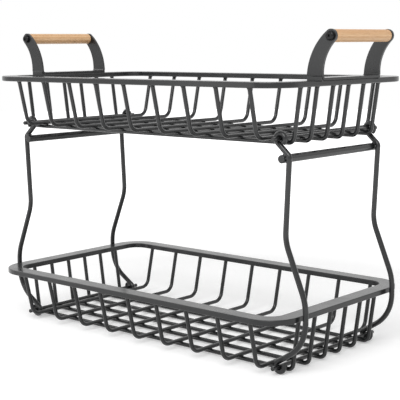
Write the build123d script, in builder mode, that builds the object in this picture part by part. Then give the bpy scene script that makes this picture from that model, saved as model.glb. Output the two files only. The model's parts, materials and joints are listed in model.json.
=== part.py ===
"""Two-tier wire basket rack: two identical wire baskets with flat bar rims,
joined at their short ends by two wire side frames, with a wood grip above each
end of the upper basket.

Origin: centre of the rack on the ground, X along the long side, Y towards the
back, Z up.
"""

from build123d import *
import os
from math import acos, asin, atan2, cos, degrees, hypot, radians, sin

# flat bar rim, one per basket
rim_length = 406
rim_width = 230
rim_corner_radius = 32
rim_bar_width = 17
rim_bar_thickness = 5.5
rim_edge_round = 0.9
tier_spacing = 220

# basket wires
wire_diameter = 4.3
cross_wire_count = 9
cross_wire_end_inset = 39
long_wire_count = 6
long_wire_side_inset = 48.25
wire_top_inset = 9.5
basket_depth = 48.2
cross_wire_taper = 11
cross_wire_bend_radius = 11
long_wire_taper = 7.5
long_wire_bend_radius = 6.5
wire_trim_allowance = 3

# hinge rod across each end of a basket floor
rod_diameter = 4.3
rod_end_inset = 25
rod_tip_length = 9.3
rod_tip_round = 0.7

# side frame legs, bent from round wire
leg_diameter = 5.5
leg_side_gap = 5.1
leg_rim_gap = 2.5
eye_clearance = 0.08
eye_wrap_deg = 275
kink_rise = 15.9
kink_reach = 10.5
kink_bend_radius = 5
knee_drop_share = 0.583
knee_reach = 4.2
knee_bend_radius = 42
shoulder_above_rim = 12
shoulder_bend_radius = 50
heel_below_rim = 23
heel_bend_radius = 40

# cross bar that joins the two legs of a side frame
cross_bar_diameter = 8
cross_bar_overhang = 1.2
cross_bar_end_round = 0.8

# handle bracket, one bent strip per end of the upper basket
strip_width = 18
strip_thickness = 2.5
strip_bend_radius = 2
strip_rim_overhang = 3.5
arm_half_spacing = 49
arm_straight_rise = 1.2
arm_tip_width = 12.8
arm_curve_radius = 49
arm_curve_deg = 50
bracket_blank_height = 100

# wood grip and its screws
grip_diameter = 12
grip_end_round = 1.4
grip_bore_allowance = 2
screw_diameter = 4
screw_length = 16
screw_hole_clearance = 0.15
screw_pilot_clearance = 0.02
screw_head_diameter = 9.2
screw_head_height = 3
screw_head_dome = 1.6
screw_socket_width = 2.6
screw_socket_depth = 1.7

# radii that several pieces share
wire_radius = wire_diameter / 2
rod_radius = rod_diameter / 2
leg_radius = leg_diameter / 2
cross_bar_radius = cross_bar_diameter / 2
eye_radius = rod_radius + eye_clearance + leg_radius

# heights, from the ground up: the lower eyes are the feet
lower_rod_z = eye_radius + leg_radius
upper_rod_z = lower_rod_z + tier_spacing
long_wire_lift = -(rod_radius + wire_radius)
cross_wire_lift = long_wire_lift + wire_diameter
rim_top_lift = basket_depth + rim_bar_thickness

# places along the long and the short side
rim_half_length = rim_length / 2
rim_half_width = rim_width / 2
rod_x = rim_half_length - rod_end_inset
outer_cross_wire_x = rim_half_length - cross_wire_end_inset
outer_long_wire_y = rim_half_width - long_wire_side_inset
leg_y = outer_long_wire_y + wire_radius + leg_side_gap + leg_radius
rod_half_length = leg_y + leg_radius + rod_tip_length
leg_outer_x = rim_half_length + leg_rim_gap + leg_radius

ends = {"left": -1, "right": 1}
sides = {"front": -1, "back": 1}
tiers = {"lower": lower_rod_z, "upper": upper_rod_z}

os.makedirs("parts", exist_ok=True)


def save(piece, label):
    piece.label = label
    export_step(piece, f"parts/{label}.step")


def round_wire(path, diameter):
    """Round wire swept along a bent path."""
    with BuildSketch(Plane(origin=path @ 0, z_dir=path % 0)) as section:
        Circle(diameter / 2)
    with BuildPart() as wire:
        sweep(section.sketch, path=path)
    return wire.part


def basket_rim(rod_z):
    """Flat bar bent to a rounded rectangle, lying flat on the wire tops."""
    with BuildSketch(Plane.XY.offset(rod_z + basket_depth)) as outline:
        RectangleRounded(rim_length, rim_width, rim_corner_radius)
        RectangleRounded(
            rim_length - 2 * rim_bar_width,
            rim_width - 2 * rim_bar_width,
            rim_corner_radius - rim_bar_width,
            mode=Mode.SUBTRACT,
        )
    with BuildPart() as rim:
        extrude(outline.sketch, amount=rim_bar_thickness)
        flat_faces = rim.faces().filter_by(Axis.Z)
        fillet(flat_faces.edges(), rim_edge_round)
    return rim.part


def basket_wire(plane, half_span, taper, floor_lift, bend_radius, rod_z):
    """U-shaped wire that hangs from the rim, crosses the floor and rises again."""
    floor_z = rod_z + floor_lift
    underside_z = rod_z + basket_depth
    trim_z = underside_z + wire_trim_allowance
    slope = taper / (underside_z - floor_z)
    trim_half_span = half_span + slope * wire_trim_allowance
    floor_half_span = half_span - taper
    with BuildLine(plane) as path:
        FilletPolyline(
            (-trim_half_span, trim_z),
            (-floor_half_span, floor_z),
            (floor_half_span, floor_z),
            (trim_half_span, trim_z),
            radius=bend_radius,
        )
    blank = round_wire(path.wire(), wire_diameter)
    with BuildPart() as wire:
        add(blank)
        split(bisect_by=Plane.XY.offset(underside_z), keep=Keep.BOTTOM)
    return wire.part


def hinge_rod(end_x, rod_z):
    """Straight rod along Y across the long wires, its tips held by the leg eyes."""
    with BuildSketch(Plane.XZ.offset(-rod_half_length)) as section:
        with Locations((end_x, rod_z)):
            Circle(rod_radius)
    with BuildPart() as rod:
        extrude(section.sketch, amount=2 * rod_half_length)
        fillet(rod.faces().filter_by(Axis.Y).edges(), rod_tip_round)
    return rod.part


def tangent_to_eye(corner, eye, turn):
    """Heading and touching point of a line from the corner onto the eye circle."""
    across = eye[0] - corner[0]
    rise = eye[1] - corner[1]
    reach = hypot(across, rise)
    heading = atan2(rise, across) + turn * asin(eye_radius / reach)
    run = (reach**2 - eye_radius**2) ** 0.5
    touch = (corner[0] + run * cos(heading), corner[1] + run * sin(heading))
    return heading, touch


# leg corners in the XZ plane of the right end, from the top down
upper_eye = (rod_x, upper_rod_z)
lower_eye = (rod_x, lower_rod_z)
kink = (rod_x + kink_reach, upper_rod_z - kink_rise)
shoulder = (leg_outer_x, lower_rod_z + rim_top_lift + shoulder_above_rim)
knee = (kink[0] - knee_reach, kink[1] - knee_drop_share * (kink[1] - shoulder[1]))
heel = (leg_outer_x, lower_rod_z + basket_depth - heel_below_rim)
upper_heading, upper_touch = tangent_to_eye(kink, upper_eye, 1)
lower_heading, lower_touch = tangent_to_eye(heel, lower_eye, -1)


def mirrored(point, end):
    return (end * point[0], point[1])


def eye_arc(eye, touch, end, turn):
    """Arc of the eye, wrapped round the rod from the touching point."""
    start = degrees(atan2(touch[1] - eye[1], touch[0] - eye[0]))
    middle = radians(start - turn * eye_wrap_deg / 2)
    finish = radians(start - turn * eye_wrap_deg)
    stops = [touch]
    for angle in (middle, finish):
        stops.append((eye[0] + eye_radius * cos(angle), eye[1] + eye_radius * sin(angle)))
    return [mirrored(stop, end) for stop in stops]


def leg(end, side):
    """Leg with an eye round each hinge rod, swelling out past the lower rim."""
    corners = [upper_touch, kink, knee, shoulder, heel, lower_touch]
    bend_radii = (kink_bend_radius, knee_bend_radius, shoulder_bend_radius, heel_bend_radius)
    with BuildLine(Plane.XZ.offset(-side * leg_y)) as path:
        ThreePointArc(*reversed(eye_arc(upper_eye, upper_touch, end, 1)))
        FilletPolyline(*[mirrored(corner, end) for corner in corners], radius=bend_radii)
        ThreePointArc(*eye_arc(lower_eye, lower_touch, end, -1))
    return round_wire(path.wire(), leg_diameter)


def bar_centre():
    """Centre of the cross bar, nestled against both straight runs at the kink."""
    up_run = (upper_touch[0] - kink[0], upper_touch[1] - kink[1])
    down_run = (knee[0] - kink[0], knee[1] - kink[1])
    up_unit = tuple(step / hypot(*up_run) for step in up_run)
    down_unit = tuple(step / hypot(*down_run) for step in down_run)
    half_angle = acos(up_unit[0] * down_unit[0] + up_unit[1] * down_unit[1]) / 2
    inward = (up_unit[0] + down_unit[0], up_unit[1] + down_unit[1])
    distance = (leg_radius + cross_bar_radius) / sin(half_angle)
    scale = distance / hypot(*inward)
    return (kink[0] + scale * inward[0], kink[1] + scale * inward[1])


def cross_bar(end):
    """Straight bar welded inside the kinks of both legs of a side frame."""
    half_length = leg_y + leg_radius + cross_bar_overhang
    with BuildSketch(Plane.XZ.offset(-half_length)) as section:
        with Locations(mirrored(bar_centre(), end)):
            Circle(cross_bar_radius)
    with BuildPart() as bar:
        extrude(section.sketch, amount=2 * half_length)
        fillet(bar.faces().filter_by(Axis.Y).edges(), cross_bar_end_round)
    return bar.part


# handle places: the strip lies on the rim's end bar
strip_centre_x = rim_half_length + strip_rim_overhang - strip_width / 2
strip_bottom_z = upper_rod_z + rim_top_lift
arm_outer_y = arm_half_spacing + strip_thickness / 2
arm_inner_y = arm_half_spacing - strip_thickness / 2
curve_centre = (strip_centre_x + arm_curve_radius, strip_bottom_z + strip_thickness + arm_straight_rise)


def on_curve(radius, angle_deg):
    """Point at the angle up from the foot, on a circle round the curve centre."""
    angle = radians(angle_deg)
    return (curve_centre[0] - radius * cos(angle), curve_centre[1] + radius * sin(angle))


grip_centre = on_curve(arm_curve_radius, arm_curve_deg)


def arm_edge(side):
    """Three points of an arm's edge from foot to tip, the arm narrowing evenly."""
    stops = []
    for share in (0, 0.5, 1):
        width = strip_width + share * (arm_tip_width - strip_width)
        stops.append(on_curve(arm_curve_radius + side * width / 2, share * arm_curve_deg))
    return stops


def handle_bracket(end):
    """Strip bent up at both ends into two arms that curve outwards to round tips."""
    strip_inner_x = strip_centre_x - strip_width / 2
    strip_outer_x = strip_centre_x + strip_width / 2
    tip_heading = radians(arm_curve_deg)
    tip_crown = (
        grip_centre[0] + arm_tip_width / 2 * sin(tip_heading),
        grip_centre[1] + arm_tip_width / 2 * cos(tip_heading),
    )
    inner_edge = arm_edge(1)
    outer_edge = arm_edge(-1)
    with BuildSketch(Plane.XZ) as outline:
        with BuildLine():
            Line(mirrored((strip_outer_x, strip_bottom_z), end), mirrored((strip_inner_x, strip_bottom_z), end))
            Line(mirrored((strip_inner_x, strip_bottom_z), end), mirrored(inner_edge[0], end))
            ThreePointArc(*[mirrored(stop, end) for stop in inner_edge])
            ThreePointArc(
                mirrored(inner_edge[-1], end),
                mirrored(tip_crown, end),
                mirrored(outer_edge[-1], end),
            )
            ThreePointArc(*[mirrored(stop, end) for stop in reversed(outer_edge)])
            Line(mirrored(outer_edge[0], end), mirrored((strip_outer_x, strip_bottom_z), end))
        make_face()
    outer_bend = strip_bend_radius + strip_thickness
    with BuildSketch(Plane.YZ.offset(end * strip_centre_x)) as bend:
        with Locations((0, strip_bottom_z + bracket_blank_height / 2)):
            RectangleRounded(2 * arm_outer_y, bracket_blank_height, outer_bend)
        with Locations((0, strip_bottom_z + strip_thickness + bracket_blank_height / 2)):
            RectangleRounded(2 * arm_inner_y, bracket_blank_height, strip_bend_radius, mode=Mode.SUBTRACT)
    with BuildSketch(Plane.XZ) as screw_hole:
        with Locations(mirrored(grip_centre, end)):
            Circle(screw_diameter / 2 + screw_hole_clearance)
    with BuildPart() as bracket:
        extrude(bend.sketch, amount=bracket_blank_height, both=True)
        extrude(outline.sketch, amount=arm_outer_y, both=True, mode=Mode.INTERSECT)
        extrude(screw_hole.sketch, amount=arm_outer_y, both=True, mode=Mode.SUBTRACT)
    return bracket.part


def grip(end):
    """Round wood grip between the arms, bored at both ends for the screws."""
    centre = mirrored(grip_centre, end)
    bore_depth = screw_length - strip_thickness + grip_bore_allowance
    with BuildSketch(Plane.XZ) as section:
        with Locations(centre):
            Circle(grip_diameter / 2)
    with BuildPart() as wood:
        extrude(section.sketch, amount=arm_inner_y, both=True)
        fillet(wood.faces().filter_by(Axis.Y).edges(), grip_end_round)
        for side in sides.values():
            end_plane = Plane(
                origin=(centre[0], side * arm_inner_y, centre[1]),
                x_dir=(1, 0, 0),
                z_dir=(0, side, 0),
            )
            with BuildSketch(end_plane) as bore:
                Circle(screw_diameter / 2 + screw_pilot_clearance)
            extrude(bore.sketch, amount=-bore_depth, mode=Mode.SUBTRACT)
    return wood.part


def screw(end, side):
    """Dome-headed screw with a hexagon socket, driven through an arm into the grip."""
    centre = mirrored(grip_centre, end)
    head_plane = Plane(
        origin=(centre[0], side * arm_outer_y, centre[1]),
        x_dir=(1, 0, 0),
        z_dir=(0, side, 0),
    )
    with BuildSketch(head_plane) as head:
        Circle(screw_head_diameter / 2)
    with BuildSketch(head_plane) as shank:
        Circle(screw_diameter / 2)
    with BuildSketch(head_plane.offset(screw_head_height)) as socket:
        RegularPolygon(screw_socket_width / 2, 6, major_radius=False)
    with BuildPart() as fastener:
        extrude(head.sketch, amount=screw_head_height)
        outer_face = fastener.faces().sort_by(Axis.Y)[-1 if side > 0 else 0]
        fillet(outer_face.edges(), screw_head_dome)
        extrude(socket.sketch, amount=-screw_socket_depth, mode=Mode.SUBTRACT)
        extrude(shank.sketch, amount=-screw_length)
    return fastener.part


# one basket per tier
for tier, rod_z in tiers.items():
    save(basket_rim(rod_z), f"{tier}_rim")
    for place in range(cross_wire_count):
        wire_x = outer_cross_wire_x * (2 * place / (cross_wire_count - 1) - 1)
        wire = basket_wire(
            Plane.YZ.offset(wire_x),
            rim_half_width - wire_top_inset,
            cross_wire_taper,
            cross_wire_lift,
            cross_wire_bend_radius,
            rod_z,
        )
        save(wire, f"{tier}_cross_wire_{place + 1}")
    for place in range(long_wire_count):
        wire_y = outer_long_wire_y * (2 * place / (long_wire_count - 1) - 1)
        wire = basket_wire(
            Plane.XZ.offset(-wire_y),
            rim_half_length - wire_top_inset,
            long_wire_taper,
            long_wire_lift,
            long_wire_bend_radius,
            rod_z,
        )
        save(wire, f"{tier}_long_wire_{place + 1}")
    for end_name, end in ends.items():
        save(hinge_rod(end * rod_x, rod_z), f"{tier}_{end_name}_hinge_rod")

# one side frame and one handle per end
for end_name, end in ends.items():
    for side_name, side in sides.items():
        save(leg(end, side), f"{end_name}_{side_name}_leg")
    save(cross_bar(end), f"{end_name}_cross_bar")
    save(handle_bracket(end), f"{end_name}_handle_bracket")
    save(grip(end), f"{end_name}_grip")
    pair = [screw(end, side) for side in sides.values()]
    save(Compound(children=pair), f"{end_name}_grip_screws")
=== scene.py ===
# %% [markdown]
# # A two-tier wire basket with wood grips
#
# The rack is two identical wire baskets, one above the other. Each basket has a
# flat bar rim, and bent wire side frames carry the upper one. A bent strip with
# a round wood grip stands at each end of the upper rim. All the steel has a
# charcoal powder coat with a satin sheen, but for the grips' screws, which are
# black oxide.
#
# The shapes come from the construction model and stay as they are. This script
# gives them their finishes, adds the small welds where the steel is joined, and
# sets up the floor, the light and the camera. All lengths are in metres.

import json
import math
import random

import bmesh
import bpy
from mathutils import Euler, Matrix, Vector


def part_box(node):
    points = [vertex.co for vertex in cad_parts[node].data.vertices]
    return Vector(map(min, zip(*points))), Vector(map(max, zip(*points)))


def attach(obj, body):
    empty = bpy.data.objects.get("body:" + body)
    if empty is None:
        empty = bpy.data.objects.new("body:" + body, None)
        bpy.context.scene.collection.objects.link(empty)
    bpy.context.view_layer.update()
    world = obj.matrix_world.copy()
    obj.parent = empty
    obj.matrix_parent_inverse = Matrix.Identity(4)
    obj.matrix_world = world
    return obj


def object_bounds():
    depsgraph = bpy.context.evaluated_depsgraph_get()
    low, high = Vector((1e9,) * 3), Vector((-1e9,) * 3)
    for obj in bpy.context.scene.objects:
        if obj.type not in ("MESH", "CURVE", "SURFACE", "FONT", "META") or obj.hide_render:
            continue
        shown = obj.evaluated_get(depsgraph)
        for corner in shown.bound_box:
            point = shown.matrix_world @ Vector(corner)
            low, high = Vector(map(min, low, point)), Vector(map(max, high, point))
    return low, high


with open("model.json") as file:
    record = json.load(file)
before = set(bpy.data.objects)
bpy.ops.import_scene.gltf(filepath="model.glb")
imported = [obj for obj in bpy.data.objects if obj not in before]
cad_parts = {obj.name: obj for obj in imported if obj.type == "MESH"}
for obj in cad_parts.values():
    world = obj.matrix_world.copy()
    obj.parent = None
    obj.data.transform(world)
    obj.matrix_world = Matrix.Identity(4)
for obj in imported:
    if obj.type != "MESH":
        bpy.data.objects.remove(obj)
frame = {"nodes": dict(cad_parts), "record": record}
cad_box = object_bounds()
print("parts:", len(frame["nodes"]), "box:", cad_box)

# %% [markdown]
# ## Sorting the parts by finish
#
# The rack has only three finishes: powder coat, wood and black oxide. A material
# could be given to each part by hand, but the record names a material slot for
# every part. Grouping the parts by slot means that a finish is assigned in one
# loop, and a new part would get its finish without any change here.

# %% Group the parts by slot
parts_by_slot = {}
for subpart in frame["record"]["subparts"]:
    parts_by_slot.setdefault(subpart["material_slot"], []).append(subpart["node"])
print({slot: len(parts) for slot, parts in parts_by_slot.items()})

# %% [markdown]
# ## Small helpers for node trees
#
# A material is a tree of nodes joined by links. Each node has inputs, and an
# input either holds a plain value or is fed by another node's output. Two short
# helpers keep the recipes readable: one feeds an input with whichever it is
# given, the other adds a node and feeds the inputs named. The rest are made of
# these two: maths, noise, a change of range, a mix of two colours, and a tint
# that a mask lays over a colour.
#
# The mix node carries sockets for numbers, vectors and colours under the same
# names, so its colour sockets are picked by their place in the list.

# %% Helpers for node trees
MIX_FACTOR, MIX_FIRST, MIX_SECOND, MIX_RESULT = 0, 6, 7, 2


def feed(tree, target, value):
    """Joins an output to the target input, or sets a plain value on it."""
    if isinstance(value, bpy.types.NodeSocket):
        tree.links.new(value, target)
    else:
        target.default_value = value


def add_node(tree, kind, inputs=None, **settings):
    """Adds a node, makes the named settings and feeds the named inputs."""
    node = tree.nodes.new(kind)
    for name, value in settings.items():
        setattr(node, name, value)
    for name, value in (inputs or {}).items():
        feed(tree, node.inputs[name], value)
    return node


def add_maths(tree, operation, first, second):
    """Sum, product or the like of two numbers or outputs."""
    node = add_node(tree, "ShaderNodeMath", operation=operation)
    for target, value in zip(node.inputs, (first, second)):
        feed(tree, target, value)
    return node.outputs["Value"]


def add_noise(tree, place, scale, detail, roughness=0.5):
    """Cloudy noise, as a smooth grey; a larger scale makes finer clouds."""
    inputs = {"Vector": place, "Scale": scale, "Detail": detail, "Roughness": roughness}
    return add_node(tree, "ShaderNodeTexNoise", inputs).outputs["Fac"]


def add_range(tree, value, low, high, new_low=0.0, new_high=1.0):
    """Maps the range low..high to new_low..new_high, held at both ends."""
    inputs = {
        "Value": value,
        "From Min": low,
        "From Max": high,
        "To Min": new_low,
        "To Max": new_high,
    }
    return add_node(tree, "ShaderNodeMapRange", inputs, clamp=True).outputs["Result"]


def add_mix(tree, factor, first, second):
    """First colour where the factor is 0, second where it is 1."""
    node = add_node(tree, "ShaderNodeMix", data_type="RGBA")
    for socket, value in ((MIX_FACTOR, factor), (MIX_FIRST, first), (MIX_SECOND, second)):
        feed(tree, node.inputs[socket], value)
    return node.outputs[MIX_RESULT]


def add_tint(tree, colour, mask, tint, strength):
    """Colour drawn towards a tint where the mask is bright, by the strength at most."""
    return add_mix(tree, add_maths(tree, "MULTIPLY", mask, strength), colour, tint)


print("node helpers ready; a mix gives its colour on output", MIX_RESULT)

# %% [markdown]
# ## Helpers for materials and groups
#
# Every finish starts from the same few nodes: the shader, and the object's own
# coordinates, which a pattern needs to stay put on the part. Each finish of the
# rack also ends with a bump, which shades a relief too fine to model. A node
# group is a tree of its own with named sockets at both ends, so that one effect
# can serve several materials.

# %% Helpers for materials and groups
VECTOR = "NodeSocketVector"
NUMBER = "NodeSocketFloat"


def new_material(name):
    """Material, its tree, its shader and the object's own coordinates."""
    material = bpy.data.materials.new(name)
    material.use_nodes = True
    tree = material.node_tree
    place = add_node(tree, "ShaderNodeTexCoord").outputs["Object"]
    return material, tree, tree.nodes["Principled BSDF"], place


def add_bump(tree, shader, height, strength, distance):
    """Fine relief; the distance is the height in metres of a full white."""
    inputs = {"Strength": strength, "Distance": distance, "Height": height}
    bump = add_node(tree, "ShaderNodeBump", inputs)
    feed(tree, shader.inputs["Normal"], bump.outputs["Normal"])


def new_group(name, inputs, outputs):
    """Node group with the named sockets, and the nodes that stand for its two ends."""
    group = bpy.data.node_groups.new(name, "ShaderNodeTree")
    for direction, sockets in (("INPUT", inputs), ("OUTPUT", outputs)):
        for socket, kind in sockets.items():
            group.interface.new_socket(socket, in_out=direction, socket_type=kind)
    return group, add_node(group, "NodeGroupInput"), add_node(group, "NodeGroupOutput")


print("material and group helpers ready, for sockets of kind", VECTOR, "and", NUMBER)

# %% [markdown]
# ## Colours as they are seen
#
# Shaders count light, so they want linear values. A colour read off a surface
# is easier to think of on the 0 to 255 scale of a screen, and this helper turns
# one into the other by the standard curve of a screen.

# %% Screen colour to linear colour
SCREEN_WHITE = 255


def to_linear(share):
    """Light that a screen gives for a share of its full level."""
    return share / 12.92 if share <= 0.04045 else ((share + 0.055) / 1.055) ** 2.4


def screen_colour(red, green, blue):
    """Linear colour with full alpha for a colour given on the screen's 0 to 255 scale."""
    return (*[to_linear(level / SCREEN_WHITE) for level in (red, green, blue)], 1.0)


print("mid grey in linear light:", [round(level, 3) for level in screen_colour(128, 128, 128)])

# %% [markdown]
# ## Handling marks, shared by every finish
#
# A rack that has stood in a kitchen has faint smudges, and a little dust on
# what faces up. Marks could be painted on each part, but coated steel, wood and
# screws all show the same ones, so the effect is one node group with its own
# inputs. It puts out two masks, and each material decides what a mask does to
# its colour and its sheen. Dust lies where the surface's normal points up, and
# a noise breaks it into specks.

# %% Node group for smudges and dust
DUST_SPECK_SCALE = 420


def make_handling_group():
    group, inside, outside = new_group(
        "handling marks",
        inputs={"Coordinates": VECTOR, "Smudge Scale": NUMBER},
        outputs={"Smudge": NUMBER, "Dust": NUMBER},
    )
    place = inside.outputs["Coordinates"]
    smudge = add_noise(group, place, inside.outputs["Smudge Scale"], detail=3)
    feed(group, outside.inputs["Smudge"], add_range(group, smudge, low=0.45, high=0.7))
    geometry = add_node(group, "ShaderNodeNewGeometry")
    normal = add_node(group, "ShaderNodeSeparateXYZ", {"Vector": geometry.outputs["Normal"]})
    facing_up = add_range(group, normal.outputs["Z"], low=0.6, high=0.98)
    specks = add_noise(group, place, DUST_SPECK_SCALE, detail=2)
    specks = add_range(group, specks, low=0.5, high=0.75)
    feed(group, outside.inputs["Dust"], add_maths(group, "MULTIPLY", facing_up, specks))
    return group


handling_marks = make_handling_group()
print("group:", handling_marks.name, [item.name for item in handling_marks.interface.items_tree])

# %% [markdown]
# ## Worn and shaded edges, shared by every finish
#
# Hands and shelves rub the edges of a thing first. The Bevel node gives the
# normal that the surface would have if its edges were rounded. Where that
# differs from the true normal, there is an edge, and the difference makes a
# mask. It works on the loose triangles of a construction part, since it looks
# at the shape itself and not at how the triangles are joined. A noise makes the
# rubbing patchy, as a line of even width would look drawn. The steel and the
# screws take the mask as wear; the wood takes it, in a wide band, as painted
# shade at its ends.

# %% Node group for worn and shaded edges
BEVEL_SAMPLES = 6
WEAR_PATCH_SCALE = 320


def make_edge_group():
    group, inside, outside = new_group(
        "edge wear and end shade",
        inputs={"Coordinates": VECTOR, "Radius": NUMBER},
        outputs={"Edge": NUMBER},
    )
    rounded = add_node(
        group, "ShaderNodeBevel", {"Radius": inside.outputs["Radius"]}, samples=BEVEL_SAMPLES
    )
    geometry = add_node(group, "ShaderNodeNewGeometry")
    likeness = add_node(group, "ShaderNodeVectorMath", operation="DOT_PRODUCT")
    feed(group, likeness.inputs[0], geometry.outputs["Normal"])
    feed(group, likeness.inputs[1], rounded.outputs["Normal"])
    edge = add_range(group, likeness.outputs["Value"], 0.86, 0.98, new_low=1.0, new_high=0.0)
    patches = add_noise(group, inside.outputs["Coordinates"], WEAR_PATCH_SCALE, detail=3)
    patches = add_range(group, patches, 0.38, 0.62, new_low=0.25, new_high=1.0)
    feed(group, outside.inputs["Edge"], add_maths(group, "MULTIPLY", edge, patches))
    return group


edge_wear_and_shade = make_edge_group()
print("group:", edge_wear_and_shade.name, [item.name for item in edge_wear_and_shade.interface.items_tree])

# %% [markdown]
# ## Placing the shared groups
#
# A group does nothing until a material holds a node that runs it. Each finish
# places both groups, with its own size of smudge and its own width of edge.

# %% Place the shared groups in a material
def add_marks(tree, place, smudge_scale):
    """Masks for smudges and for dust, at the given size of smudge."""
    inputs = {"Coordinates": place, "Smudge Scale": smudge_scale}
    marks = add_node(tree, "ShaderNodeGroup", inputs, node_tree=handling_marks)
    return marks.outputs["Smudge"], marks.outputs["Dust"]


def add_edge(tree, place, radius):
    """Edge mask, in a band of about the given radius in metres: wear on steel, painted shade at
    the wood's ends.
    """
    inputs = {"Coordinates": place, "Radius": radius}
    return add_node(tree, "ShaderNodeGroup", inputs, node_tree=edge_wear_and_shade).outputs["Edge"]


print("marks and edges ready for the materials")

# %% [markdown]
# ## Charcoal powder coat
#
# Powder coat is melted plastic powder. It flows into a smooth skin with a faint
# orange-peel ripple, a satin sheen, and fine darker and lighter specks. The
# ripple is a bump a few hundredths of a millimetre high, far too fine to model.
# Noise at three sizes does it: broad for uneven sheen, middle for the ripple,
# fine for the specks. Metallic stays at zero, as the skin is plastic. The coat
# looks lightest where it is seen at a low angle, as on the flat rims. That is
# the sheen itself, so the colour stays dark, and the shader's thin clear coat,
# smoother than the layer under it, gives the rims their pale gleam.

# %% Material for the powder coat
COAT_DARK = screen_colour(18, 19, 20)
COAT_LIGHT = screen_colour(32, 33, 34)
COAT_WORN = screen_colour(92, 92, 92)
COAT_DUST = screen_colour(118, 117, 114)
COAT_SMUDGE_SCALE = 38
COAT_EDGE_RADIUS = 0.0007
COAT_SHEEN_SCALE = 60
COAT_RIPPLE_SCALE = 780
COAT_SPECK_SCALE = 2600
COAT_GREASE = 0.06  # how much duller a smudge makes the sheen
COAT_GRIT = 0.25  # height of the specks as a share of the ripple's


def make_powder_coat():
    material, tree, shader, place = new_material("charcoal powder coat")
    smudge, dust = add_marks(tree, place, COAT_SMUDGE_SCALE)
    edge = add_edge(tree, place, COAT_EDGE_RADIUS)

    specks = add_noise(tree, place, COAT_SPECK_SCALE, detail=2, roughness=0.6)
    specks = add_range(tree, specks, low=0.35, high=0.65)
    colour = add_mix(tree, specks, COAT_DARK, COAT_LIGHT)
    colour = add_tint(tree, colour, edge, COAT_WORN, strength=0.5)
    colour = add_tint(tree, colour, dust, COAT_DUST, strength=0.16)
    feed(tree, shader.inputs["Base Color"], colour)

    uneven = add_noise(tree, place, COAT_SHEEN_SCALE, detail=3)
    uneven = add_range(tree, uneven, 0.3, 0.7, new_low=0.25, new_high=0.33)
    greasy = add_maths(tree, "MULTIPLY", smudge, COAT_GREASE)
    feed(tree, shader.inputs["Roughness"], add_maths(tree, "ADD", uneven, greasy))

    ripple = add_noise(tree, place, COAT_RIPPLE_SCALE, detail=1)
    grit = add_noise(tree, place, COAT_SPECK_SCALE, detail=1)
    height = add_maths(tree, "ADD", ripple, add_maths(tree, "MULTIPLY", grit, COAT_GRIT))
    add_bump(tree, shader, height, strength=0.35, distance=0.00012)
    for name, value in (("IOR", 1.33), ("Coat Weight", 0.42), ("Coat Roughness", 0.12)):
        shader.inputs[name].default_value = value
    return material


powder_coat = make_powder_coat()
print("material:", powder_coat.name, len(powder_coat.node_tree.nodes), "nodes")

# %% [markdown]
# ## Wood for the grips
#
# The grips are turned from a pale, close-grained hardwood. Its growth rings are
# long cylinders round the heart of the tree, so on a thin stick they run nearly
# parallel to its length. A flat picture of grain would have to be wrapped round
# the stick, and would not meet at its ends. This pattern is solid instead: it
# measures each point's distance from a heart line well outside the stick, makes
# it ripple, and lays fine fibres and pores along the length by stretching a
# noise, so end grain comes by itself. The wood is painted darker in a band at
# its ends, where they meet the arms: that is painted shade, drawn with the edge
# mask made wide and tinted with the colour of the pores. A thin matt varnish
# gives a soft sheen.

# %% Material for the wood grips
WOOD_PALE = screen_colour(240, 201, 157)
WOOD_RING = screen_colour(206, 157, 109)
# the pores' colour, which also paints the shade at the grips' ends
WOOD_PORE_AND_END_SHADE = screen_colour(160, 112, 70)
WOOD_SMUDGE_SCALE = 55
# width of the band of painted shade at the grips' ends
WOOD_END_SHADE_RADIUS = 0.0018
FIBRE_SCALE = 1500
FIBRE_RELIEF = 0.4  # height of the fibres as a share of the pores' depth
PORE_SCALE = 3800
ALONG_GRAIN = (1.0, 0.035, 1.0)
HEART_OFFSET = (0.028, 0.0, -0.021)
RING_INPUTS = {"Scale": 95, "Distortion": 2.2, "Detail": 2, "Detail Scale": 0.6}


def add_stretch(tree, place, offset=(0.0, 0.0, 0.0)):
    """Coordinates in which a pattern comes out long in the grip's direction."""
    inputs = {"Vector": place, "Location": offset, "Scale": ALONG_GRAIN}
    return add_node(tree, "ShaderNodeMapping", inputs).outputs["Vector"]


def add_rings(tree, place):
    """Growth rings, each growing darker and ending at a sharp line."""
    waves = add_node(
        tree,
        "ShaderNodeTexWave",
        {"Vector": add_stretch(tree, place, HEART_OFFSET), **RING_INPUTS},
        wave_type="RINGS",
        rings_direction="Y",
        wave_profile="SAW",
    )
    return add_range(tree, waves.outputs["Fac"], 0.25, 1.0, new_high=0.85)


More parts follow.
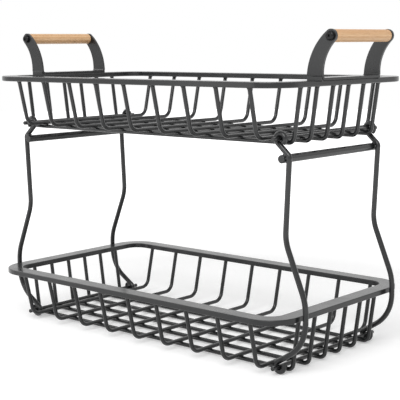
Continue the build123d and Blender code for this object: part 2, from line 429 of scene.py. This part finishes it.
def make_grip_wood():
    material, tree, shader, place = new_material("pale turned wood")
    stretched = add_stretch(tree, place)
    fibre = add_noise(tree, stretched, FIBRE_SCALE, detail=3, roughness=0.65)
    fibre = add_range(tree, fibre, low=0.4, high=0.72)
    pores = add_range(tree, add_noise(tree, stretched, PORE_SCALE, detail=1), 0.62, 0.72)
    smudge, _ = add_marks(tree, place, WOOD_SMUDGE_SCALE)
    # this edge mask places the painted shade at the grips' ends
    edge = add_edge(tree, place, WOOD_END_SHADE_RADIUS)

    colour = add_mix(tree, add_rings(tree, place), WOOD_PALE, WOOD_RING)
    colour = add_tint(tree, colour, fibre, WOOD_RING, strength=0.6)
    colour = add_tint(tree, colour, pores, WOOD_PORE_AND_END_SHADE, strength=0.6)
    colour = add_tint(tree, colour, smudge, WOOD_RING, strength=0.16)
    # painted shade: the grip's ends, next to the arms, drawn darker
    colour = add_tint(tree, colour, edge, WOOD_PORE_AND_END_SHADE, strength=0.7)
    feed(tree, shader.inputs["Base Color"], colour)

    sheen = add_range(tree, fibre, 0.0, 1.0, new_low=0.46, new_high=0.58)
    feed(tree, shader.inputs["Roughness"], sheen)
    raised = add_maths(tree, "MULTIPLY", fibre, FIBRE_RELIEF)
    height = add_maths(tree, "SUBTRACT", raised, pores)
    add_bump(tree, shader, height, strength=0.3, distance=0.0001)
    return material


grip_wood = make_grip_wood()
print("material:", grip_wood.name, len(grip_wood.node_tree.nodes), "nodes")

# %% [markdown]
# ## Black oxide for the screws
#
# Black oxide is a thin dark skin on bare steel. It keeps some of the metal's
# glint, so the shader is a little more than half metallic. A plain black would
# look like paint, so two near blacks are mottled, and the same mottling makes a
# faint bump. The edges show a touch of bare steel.

# %% Material for the screws
OXIDE_DARK = screen_colour(13, 13, 15)
OXIDE_LIGHT = screen_colour(27, 26, 26)
STEEL_BARE = screen_colour(120, 118, 115)
OXIDE_SMUDGE_SCALE = 260
OXIDE_EDGE_RADIUS = 0.0003
OXIDE_MOTTLE_SCALE = 900
OXIDE_ROUGHNESS = 0.2
OXIDE_GREASE = 0.12  # how much duller a smudge makes the skin


def make_black_oxide():
    material, tree, shader, place = new_material("black oxide")
    smudge, _ = add_marks(tree, place, OXIDE_SMUDGE_SCALE)
    edge = add_edge(tree, place, OXIDE_EDGE_RADIUS)
    mottle = add_noise(tree, place, OXIDE_MOTTLE_SCALE, detail=3)
    mottle = add_range(tree, mottle, low=0.35, high=0.7)
    colour = add_mix(tree, mottle, OXIDE_DARK, OXIDE_LIGHT)
    colour = add_tint(tree, colour, edge, STEEL_BARE, strength=0.3)
    feed(tree, shader.inputs["Base Color"], colour)
    greasy = add_maths(tree, "MULTIPLY", smudge, OXIDE_GREASE)
    roughness = add_maths(tree, "ADD", greasy, OXIDE_ROUGHNESS)
    feed(tree, shader.inputs["Roughness"], roughness)
    shader.inputs["Metallic"].default_value = 0.6
    add_bump(tree, shader, mottle, strength=0.2, distance=0.00005)
    return material


black_oxide = make_black_oxide()
print("material:", black_oxide.name, len(black_oxide.node_tree.nodes), "nodes")

# %% [markdown]
# ## Giving the parts their finishes
#
# The construction parts keep their meshes and their material slots. A new slot
# could be added to each part, but its faces would still point to the old one,
# so only the material in each slot is exchanged.

# %% Assign the finishes
finishes = {"coated_steel": powder_coat, "grip_wood": grip_wood, "screw_steel": black_oxide}
for slot_name, parts in parts_by_slot.items():
    for part in parts:
        for slot in frame["nodes"][part].material_slots:
            slot.material = finishes[slot_name]
    print(slot_name, "->", finishes[slot_name].name)

# %% [markdown]
# ## Where the steel is welded
#
# The steel is joined in four places: where two wires cross on a floor, where a
# wire meets the underside of its rim, where a side frame's cross bar sits in
# the kinks of its legs, and where a handle's arms bend into the strip that lies
# on the upper rim. The metal runs a little there, and the coat rounds it off.
#
# Each weld could be set down at a measured point. Instead it takes its place
# from the boxes of the parts that it joins, so it stays on them when a size of
# the rack changes. These helpers read a box as a middle and a half size along
# one axis, and list a basket's wires in order.

# %% Boxes of the parts, as middles and half sizes
X, Y, Z = 0, 1, 2
ENDS = ("left", "right")


def middle(part, axis):
    low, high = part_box(part)
    return (low[axis] + high[axis]) / 2


def half_size(part, axis):
    low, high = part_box(part)
    return (high[axis] - low[axis]) / 2


def numbered(tier, kind):
    """Names of one basket's wires of a kind, in order."""
    names = []
    while f"{tier}_{kind}_{len(names) + 1}" in frame["nodes"]:
        names.append(f"{tier}_{kind}_{len(names) + 1}")
    return names


for kind, across in (("cross_wire", X), ("long_wire", Y)):
    radius = half_size(f"lower_{kind}_1", across)
    print(kind, "in a basket:", len(numbered("lower", kind)), "radius", round(radius, 5))

# %% [markdown]
# ## Nuggets and beads
#
# A crossing gets a small flat nugget between the wires, and a kink gets short
# beads. Both are stretched spheres that sink into the wires, so that only a
# rounded ridge shows. A sphere of triangles with few faces will do, as there are
# over a hundred and each is a few millimetres wide. A seeded random number makes
# no two the same size, and gives the same sizes at every run.

# %% Nuggets and beads
NUGGET_SIZE = (0.00185, 0.00185, 0.0008)
BEAD_SIZE = (0.0026, 0.0034, 0.0026)
BLOB_SUBDIVISIONS = 2
BLOB_SWELL = (0.9, 1.1)
chance = random.Random(11)


def add_blob(shape, place, size):
    """Stretched sphere, each a little larger or smaller than the last."""
    swell = chance.uniform(*BLOB_SWELL)
    stretch = Matrix.Diagonal((*[swell * half for half in size], 1.0))
    bmesh.ops.create_icosphere(
        shape,
        subdivisions=BLOB_SUBDIVISIONS,
        radius=1.0,
        matrix=Matrix.Translation(place) @ stretch,
    )


print("nugget half sizes:", NUGGET_SIZE, "bead half sizes:", BEAD_SIZE)

# %% [markdown]
# ## Collars under the rims
#
# Where a wire's end meets the rim, the weld is a collar round the wire, widest
# at the rim, with a hollow curve from there down to the wire. A cone would look
# turned, so one side of the collar is drawn as a profile with that curve, and
# spun one full turn. The profile is closed, with its far corners sunk into the
# rim and the wire, so the spun ring is closed too.

# %% Collars
COLLAR_FLARE = 0.0011
COLLAR_DROP = 0.0019
COLLAR_SINK = 0.0003
COLLAR_STEPS = 14
COLLAR_SWELL = (0.85, 1.15)
# each point's share of the flare outwards, and of the drop downwards
COLLAR_HOLLOW = ((1.0, 0.0), (0.62, 0.16), (0.3, 0.42), (0.1, 0.72))


def add_collar(shape, place, wire_radius):
    """Closed ring round a wire, widest where it meets the rim."""
    flare = chance.uniform(*COLLAR_SWELL) * COLLAR_FLARE
    profile = [(wire_radius + flare, COLLAR_SINK)]
    profile += [(wire_radius + out * flare, -drop * COLLAR_DROP) for out, drop in COLLAR_HOLLOW]
    inner = wire_radius - COLLAR_SINK
    profile += [(inner, -COLLAR_DROP), (inner, COLLAR_SINK)]
    corners = [
        shape.verts.new((place[X] + out, place[Y], place[Z] + rise)) for out, rise in profile
    ]
    edges = [shape.edges.new(pair) for pair in zip(corners, corners[1:] + corners[:1])]
    bmesh.ops.spin(
        shape,
        geom=corners + edges,
        cent=place,
        axis=(0, 0, 1),
        angle=2 * math.pi,
        steps=COLLAR_STEPS,
        use_merge=True,
    )


print("collar flare", COLLAR_FLARE, "drop", COLLAR_DROP)

# %% [markdown]
# ## Fillets at the handles' feet
#
# A handle's arms bend out of the strip that lies on the rim. The bend leaves a
# notch between arm and rim, which is filled with weld and ground flush with the
# arm, so that the arm seems to grow straight out of the rim. The fillet is one
# profile, drawn out along the foot. Its hidden corners are a millimetre or more
# away from what shows of it, since the mask for worn edges would light up a
# surface next to a nearer one.

# %% Fillets
MM = 0.001
# points out from the arm's face and up from the rim
FILLET_PROFILE_MM = ((-2.8, -1.0), (0.12, -1.0), (0.12, 2.2), (-0.3, 4.6), (-1.2, 4.6))
FILLET_INSET = 0.0005
FOOT_HEIGHT = 0.0005


def add_fillets(shape, end):
    """Fillets that fill the bends at the feet of one bracket's two arms."""
    bracket = f"{end}_handle_bracket"
    low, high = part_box(bracket)
    corners_of_bracket = [corner.co for corner in frame["nodes"][bracket].data.vertices]
    foot = [corner.x for corner in corners_of_bracket if corner.z < low[Z] + FOOT_HEIGHT]
    start = min(foot) + FILLET_INSET
    length = max(foot) - FILLET_INSET - start
    for face, outward in ((low[Y], -1), (high[Y], 1)):
        corners = [
            shape.verts.new((start, face + outward * out * MM, low[Z] + up * MM))
            for out, up in FILLET_PROFILE_MM
        ]
        drawn = bmesh.ops.extrude_face_region(shape, geom=[shape.faces.new(corners)])
        moved = [item for item in drawn["geom"] if isinstance(item, bmesh.types.BMVert)]
        bmesh.ops.translate(shape, verts=moved, vec=(length, 0, 0))


print("fillet corners:", len(FILLET_PROFILE_MM), "inset", FILLET_INSET)

# %% [markdown]
# ## Setting the welds in place
#
# A basket has a nugget at every crossing of its floor, the two hinge rods
# included, and a collar at both ends of every wire. Only the upper basket
# carries handles, so only it has fillets. A side frame has two beads at each
# kink, on the outer side of the cross bar, one low and one higher up its curve.

# %% Welds of a basket
def add_nuggets(shape, tier):
    """A nugget wherever a cross wire or a hinge rod lies on a long wire."""
    rods = [f"{tier}_{end}_hinge_rod" for end in ENDS]
    for long_wire in numbered(tier, "long_wire"):
        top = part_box(long_wire)[0][Z] + 2 * half_size(long_wire, Y)
        for crossing in numbered(tier, "cross_wire") + rods:
            add_blob(shape, (middle(crossing, X), middle(long_wire, Y), top), NUGGET_SIZE)


def add_collars(shape, tier):
    """A collar at both ends of every wire, under the rim."""
    for kind, across, along in (("cross_wire", X, Y), ("long_wire", Y, X)):
        for wire in numbered(tier, kind):
            radius = half_size(wire, across)
            for corner, inward in zip(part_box(wire), (1, -1)):
                place = [0.0, 0.0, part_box(wire)[1][Z]]
                place[across] = middle(wire, across)
                place[along] = corner[along] + inward * radius
                add_collar(shape, place, radius)


def add_basket_welds(shape, tier):
    add_nuggets(shape, tier)
    add_collars(shape, tier)
    if tier == "upper":
        for end in ENDS:
            add_fillets(shape, end)


print("nuggets along one long wire:", len(numbered("lower", "cross_wire")) + len(ENDS))

# %% Welds of a side frame
# each bead's share of the quarter turn from the side of the bar to its top
BEAD_LIFTS = (0.1, 0.62)
# from the bar's surface out to a bead's middle
BEAD_STAND = BEAD_SIZE[X] / 4


def add_frame_welds(shape, end):
    """Beads where one side frame's cross bar sits in the kinks of its legs."""
    outward = -1 if end == "left" else 1
    bar = f"{end}_cross_bar"
    reach = half_size(bar, X) + BEAD_STAND
    for side in ("front", "back"):
        for lift in BEAD_LIFTS:
            turn = math.radians(90 * lift)
            place = (
                middle(bar, X) + outward * reach * math.cos(turn),
                middle(f"{end}_{side}_leg", Y),
                middle(bar, Z) + reach * math.sin(turn),
            )
            add_blob(shape, place, BEAD_SIZE)


print("beads at a kink:", len(BEAD_LIFTS))

# %% [markdown]
# ## One piece of welds for each moving body
#
# The frames and the upper basket swing, and their welds have to swing with
# them, so each body gets its welds as one mesh that rides on it. The faces are
# shaded smooth, but an edge where they meet at 50 degrees or more stays crisp,
# or the light would bend round the square end of a fillet.

# %% Make the welds
SOFT_CORNER = math.radians(50)


def place_object(name, data):
    """New object in the scene, holding a mesh, a lamp or a camera."""
    placed = bpy.data.objects.new(name, data)
    bpy.context.scene.collection.objects.link(placed)
    return placed


def make_welds(body, add_welds, which):
    mesh = bpy.data.meshes.new(f"{body}_welds")
    shape = bmesh.new()
    add_welds(shape, which)
    bmesh.ops.recalc_face_normals(shape, faces=shape.faces)
    for face in shape.faces:
        face.smooth = True
    for edge in shape.edges:
        edge.smooth = edge.calc_face_angle() < SOFT_CORNER
    shape.to_mesh(mesh)
    shape.free()
    mesh.materials.append(powder_coat)
    welds = place_object(f"{body}_welds", mesh)
    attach(welds, body)
    print(welds.name, len(mesh.polygons), "faces")


for tier in ("lower", "upper"):
    make_welds(f"{tier}_basket", add_basket_welds, tier)
for end in ENDS:
    make_welds(f"{end}_frame", add_frame_welds, end)

# %% [markdown]
# ## Floor
#
# The rack stands on a plain pale floor in a white room. The floor is diffuse
# and keeps the shadow. More light would make it white, but would bleach the
# rack as well. Instead the floor has a little light of its own, for what looks
# at it straight or in a reflection, which lifts it to white where it isn't in
# shadow. That light grows with the distance from the rack, so that the floor
# runs into the white room with no line.

# %% Floor
WHITE = (1.0, 1.0, 1.0, 1.0)
FLOOR_RADIUS = 4.0
FLOOR_SEGMENTS = 96
FLOOR_COLOUR = (0.86, 0.86, 0.86, 1.0)
FLOOR_GLOW = 0.31
FLOOR_NEAR = 0.4
FLOOR_FAR = 1.0


def seen_directly(tree):
    """Mask that is 1 for camera, glossy and transmission rays."""
    rays = add_node(tree, "ShaderNodeLightPath").outputs
    seen = add_maths(tree, "MAXIMUM", rays["Is Camera Ray"], rays["Is Glossy Ray"])
    return add_maths(tree, "MAXIMUM", seen, rays["Is Transmission Ray"])


def make_floor_finish():
    material, tree, shader, place = new_material("pale floor")
    for name, value in (
        ("Base Color", FLOOR_COLOUR),
        ("Roughness", 0.9),
        ("Specular IOR Level", 0.1),
        ("Emission Color", WHITE),
    ):
        shader.inputs[name].default_value = value
    distance = add_node(tree, "ShaderNodeVectorMath", operation="LENGTH")
    feed(tree, distance.inputs[0], place)
    glow = add_range(tree, distance.outputs["Value"], FLOOR_NEAR, FLOOR_FAR, FLOOR_GLOW, 1.0)
    glow = add_maths(tree, "MULTIPLY", seen_directly(tree), glow)
    feed(tree, shader.inputs["Emission Strength"], glow)
    return material


def make_floor():
    mesh = bpy.data.meshes.new("floor")
    shape = bmesh.new()
    bmesh.ops.create_circle(shape, cap_ends=True, segments=FLOOR_SEGMENTS, radius=FLOOR_RADIUS)
    shape.to_mesh(mesh)
    shape.free()
    mesh.materials.append(make_floor_finish())
    floor = place_object("floor", mesh)
    return floor


floor = make_floor()
print("floor:", floor.name, "radius", FLOOR_RADIUS, "m")

# %% [markdown]
# ## White room
#
# The room could be a modelled dome, but the world that surrounds a scene does
# the same with no mesh. It is white to the camera and in reflections, which
# gives the steel something pale to mirror, and a plain soft grey as light, so
# that it fills the shadows without washing them out.

# %% World
WORLD_LIGHT = 0.5


def make_world():
    world = bpy.data.worlds.new("white room")
    world.use_nodes = True
    tree = world.node_tree
    background = tree.nodes["Background"]
    background.inputs["Color"].default_value = WHITE
    strength = add_range(tree, seen_directly(tree), 0.0, 1.0, WORLD_LIGHT, 1.0)
    feed(tree, background.inputs["Strength"], strength)
    return world


bpy.context.scene.world = make_world()
print("world light:", WORLD_LIGHT)

# %% [markdown]
# ## Soft lamps
#
# Three large soft lamps stand in for studio softboxes: one high in front, a
# weaker one on the left, and a faint one low in front that puts a sheen on the
# upright faces. One lamp alone would leave the left end dull. All are aimed at
# the middle of the rack, and are broad enough that no hard edge shows in the
# shadow. A lamp shines along its own -Z, so each is turned until that direction
# points at the rack.

# %% Lamps
# name, place, width, height and power in watts
SOFTBOXES = (
    ("high front softbox", (0.65, -1.2, 1.25), 1.4, 1.0, 21),
    ("left softbox", (-1.5, -0.6, 1.0), 1.0, 1.0, 6),
    ("low front softbox", (-0.7, -1.5, 0.45), 0.8, 0.8, 1.8),
)
rack_middle = (Vector(cad_box[0]) + Vector(cad_box[1])) / 2


def add_softbox(name, place, width, height, power):
    data = bpy.data.lights.new(name, "AREA")
    data.shape = "RECTANGLE"
    data.size = width
    data.size_y = height
    data.energy = power
    lamp = place_object(name, data)
    lamp.location = place
    lamp.rotation_euler = (rack_middle - Vector(place)).to_track_quat("-Z", "Y").to_euler()


for softbox in SOFTBOXES:
    add_softbox(*softbox)
    print(softbox[0], "aimed at", tuple(round(value, 3) for value in rack_middle))

# %% [markdown]
# ## Camera
#
# The photograph was taken from the front right, a little above the upper rim.
# The camera's place, its turn and its lens were found by matching the wire tops
# of both baskets to where they lie in the picture. The lens follows from the
# distance between lens and picture, counted in the picture's own pixels. There
# is no shift.

# %% Camera
CAMERA_PLACE = (0.788, -0.887, 0.3176)
CAMERA_TURN_DEG = 41.25
CAMERA_DROP_DEG = 8.28
CAMERA_LEAN_DEG = -0.41
FOCAL_PIXELS = 1084.8
PICTURE_PIXELS = 400
SENSOR_MM = 36
NEAREST_SEEN = 0.01
FARTHEST_SEEN = 50


def add_camera():
    data = bpy.data.cameras.new("photo camera")
    data.sensor_fit = "HORIZONTAL"
    data.sensor_width = SENSOR_MM
    data.lens = FOCAL_PIXELS / PICTURE_PIXELS * SENSOR_MM
    data.clip_start = NEAREST_SEEN
    data.clip_end = FARTHEST_SEEN
    camera = place_object("photo camera", data)
    turn = Euler((math.radians(90 - CAMERA_DROP_DEG), 0, math.radians(CAMERA_TURN_DEG)))
    lean = Euler((0, 0, math.radians(CAMERA_LEAN_DEG)))
    camera.rotation_euler = (turn.to_matrix() @ lean.to_matrix()).to_euler()
    camera.location = CAMERA_PLACE
    bpy.context.scene.camera = camera
    return camera


camera = add_camera()
bpy.context.scene.view_settings.view_transform = "Standard"
print("camera lens:", round(camera.data.lens, 2), "mm")
